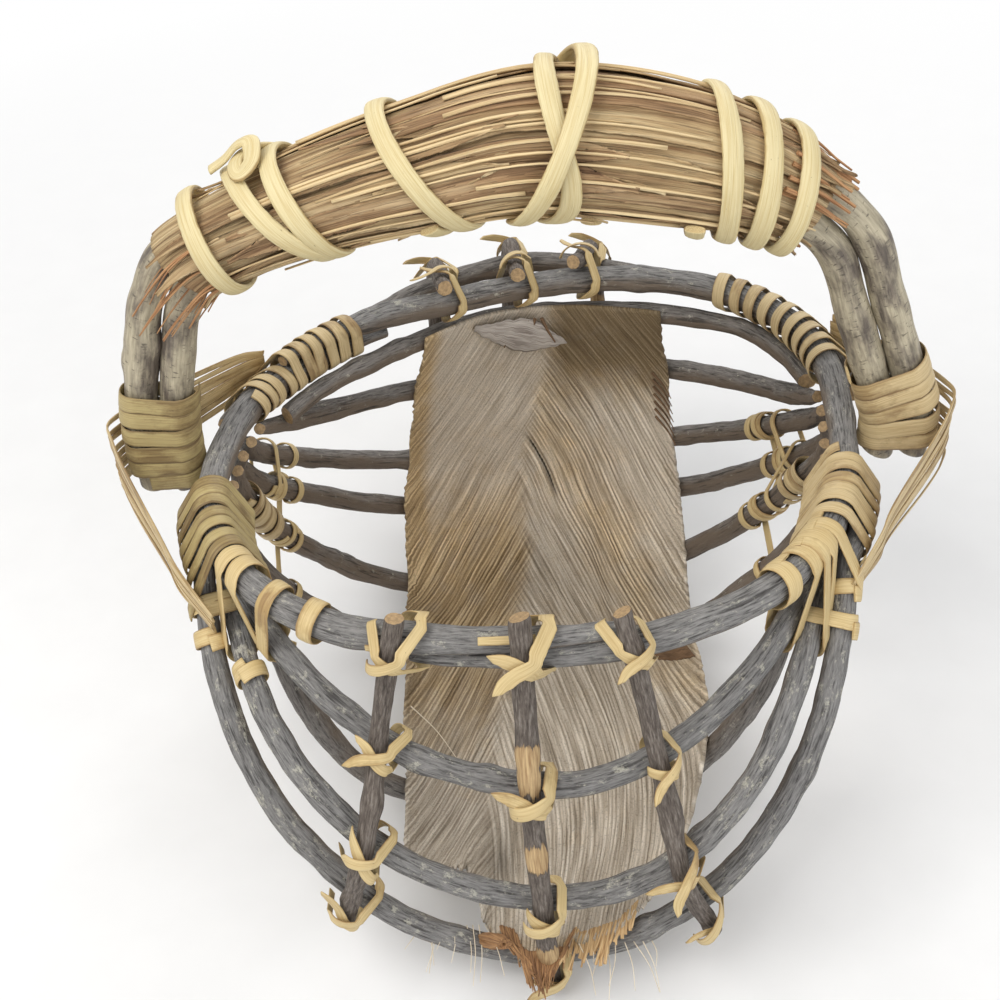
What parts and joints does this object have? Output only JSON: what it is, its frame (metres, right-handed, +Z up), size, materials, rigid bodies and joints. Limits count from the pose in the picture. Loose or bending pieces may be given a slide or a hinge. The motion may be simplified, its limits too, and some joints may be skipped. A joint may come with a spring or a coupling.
{
  "type": "twig basket",
  "caption": "Round-bellied basket of bowed twigs lashed with split cane, with a palm sheath lining and a fixed arched handle whose grip is a roll of palm bark.",
  "frame": {"origin": "middle of the worn flat under the middle floor rib, on the surface the basket stands on", "axes": "+X towards the right ear as seen from the front, -Y towards the viewer's side, which has the three long stakes, +Z up"},
  "size_m": [0.326, 0.3136, 0.3211],
  "materials": {
    "grey_brown_bark": "rough grey-brown bark, fissured lengthwise",
    "dark_twig_bark": "rough dark bark with bare patches",
    "smooth_pale_bark": "smooth pale bark",
    "split_cane": "satin split cane",
    "pale_round_cane": "satin half-round cane",
    "palm_sheath": "dry fibrous leaf sheath",
    "palm_bark_roll": "dry layered palm bark"
  },
  "bodies": {
    "root": {"rim_rod_right": "grey_brown_bark", "rim_rod_left": "grey_brown_bark", "front_rib_upper": "grey_brown_bark", "front_rib_middle": "grey_brown_bark", "front_rib_lower": "grey_brown_bark", "floor_rib_front": "grey_brown_bark", "floor_rib_middle": "grey_brown_bark", "floor_rib_back": "grey_brown_bark", "back_rib_lowest": "grey_brown_bark", "back_rib_lower": "grey_brown_bark", "back_rib_middle": "grey_brown_bark", "back_rib_upper": "grey_brown_bark", "back_rib_outer": "grey_brown_bark", "front_stake_left": "dark_twig_bark", "front_stake_middle": "dark_twig_bark", "front_stake_right": "dark_twig_bark", "back_stake_left": "dark_twig_bark", "back_stake_middle": "dark_twig_bark", "back_stake_right": "dark_twig_bark", "handle_rod_outer": "smooth_pale_bark", "handle_rod_inner": "smooth_pale_bark", "grip_bark_roll": "palm_bark_roll", "grip_tie_left_end": "pale_round_cane", "grip_tie_left_middle": "pale_round_cane", "grip_tie_crossed": "pale_round_cane", "grip_tie_right_spiral": "pale_round_cane", "foot_lashing_left": "split_cane", "foot_lashing_right": "split_cane", "front_wrap_left": "split_cane", "front_wrap_right": "split_cane", "back_wrap_left": "split_cane", "back_wrap_right": "split_cane", "inner_winding_left": "split_cane", "front_left_lashing_rim": "split_cane", "front_left_lashing_upper_rib": "split_cane", "front_left_lashing_middle_rib": "split_cane", "front_left_lashing_lower_rib": "split_cane", "front_middle_lashing_rim": "split_cane", "front_middle_lashing_upper_rib": "split_cane", "front_middle_lashing_middle_rib": "split_cane", "front_middle_lashing_lower_rib": "split_cane", "front_right_lashing_rim": "split_cane", "front_right_lashing_upper_rib": "split_cane", "front_right_lashing_middle_rib": "split_cane", "front_right_lashing_lower_rib": "split_cane", "back_left_lashing_rim": "split_cane", "back_left_lashing_outer_rib": "split_cane", "back_left_lashing_lowest_rib": "split_cane", "back_middle_lashing_rim": "split_cane", "back_middle_lashing_outer_rib": "split_cane", "back_middle_lashing_lowest_rib": "split_cane", "back_right_lashing_rim": "split_cane", "back_right_lashing_outer_rib": "split_cane", "back_right_lashing_lowest_rib": "split_cane", "rib_lacing_left": "split_cane", "rib_lacing_right": "split_cane", "outer_band_left": "split_cane", "outer_band_right": "split_cane", "palm_sheath_liner": "palm_sheath"}
  },
  "joints": []
}
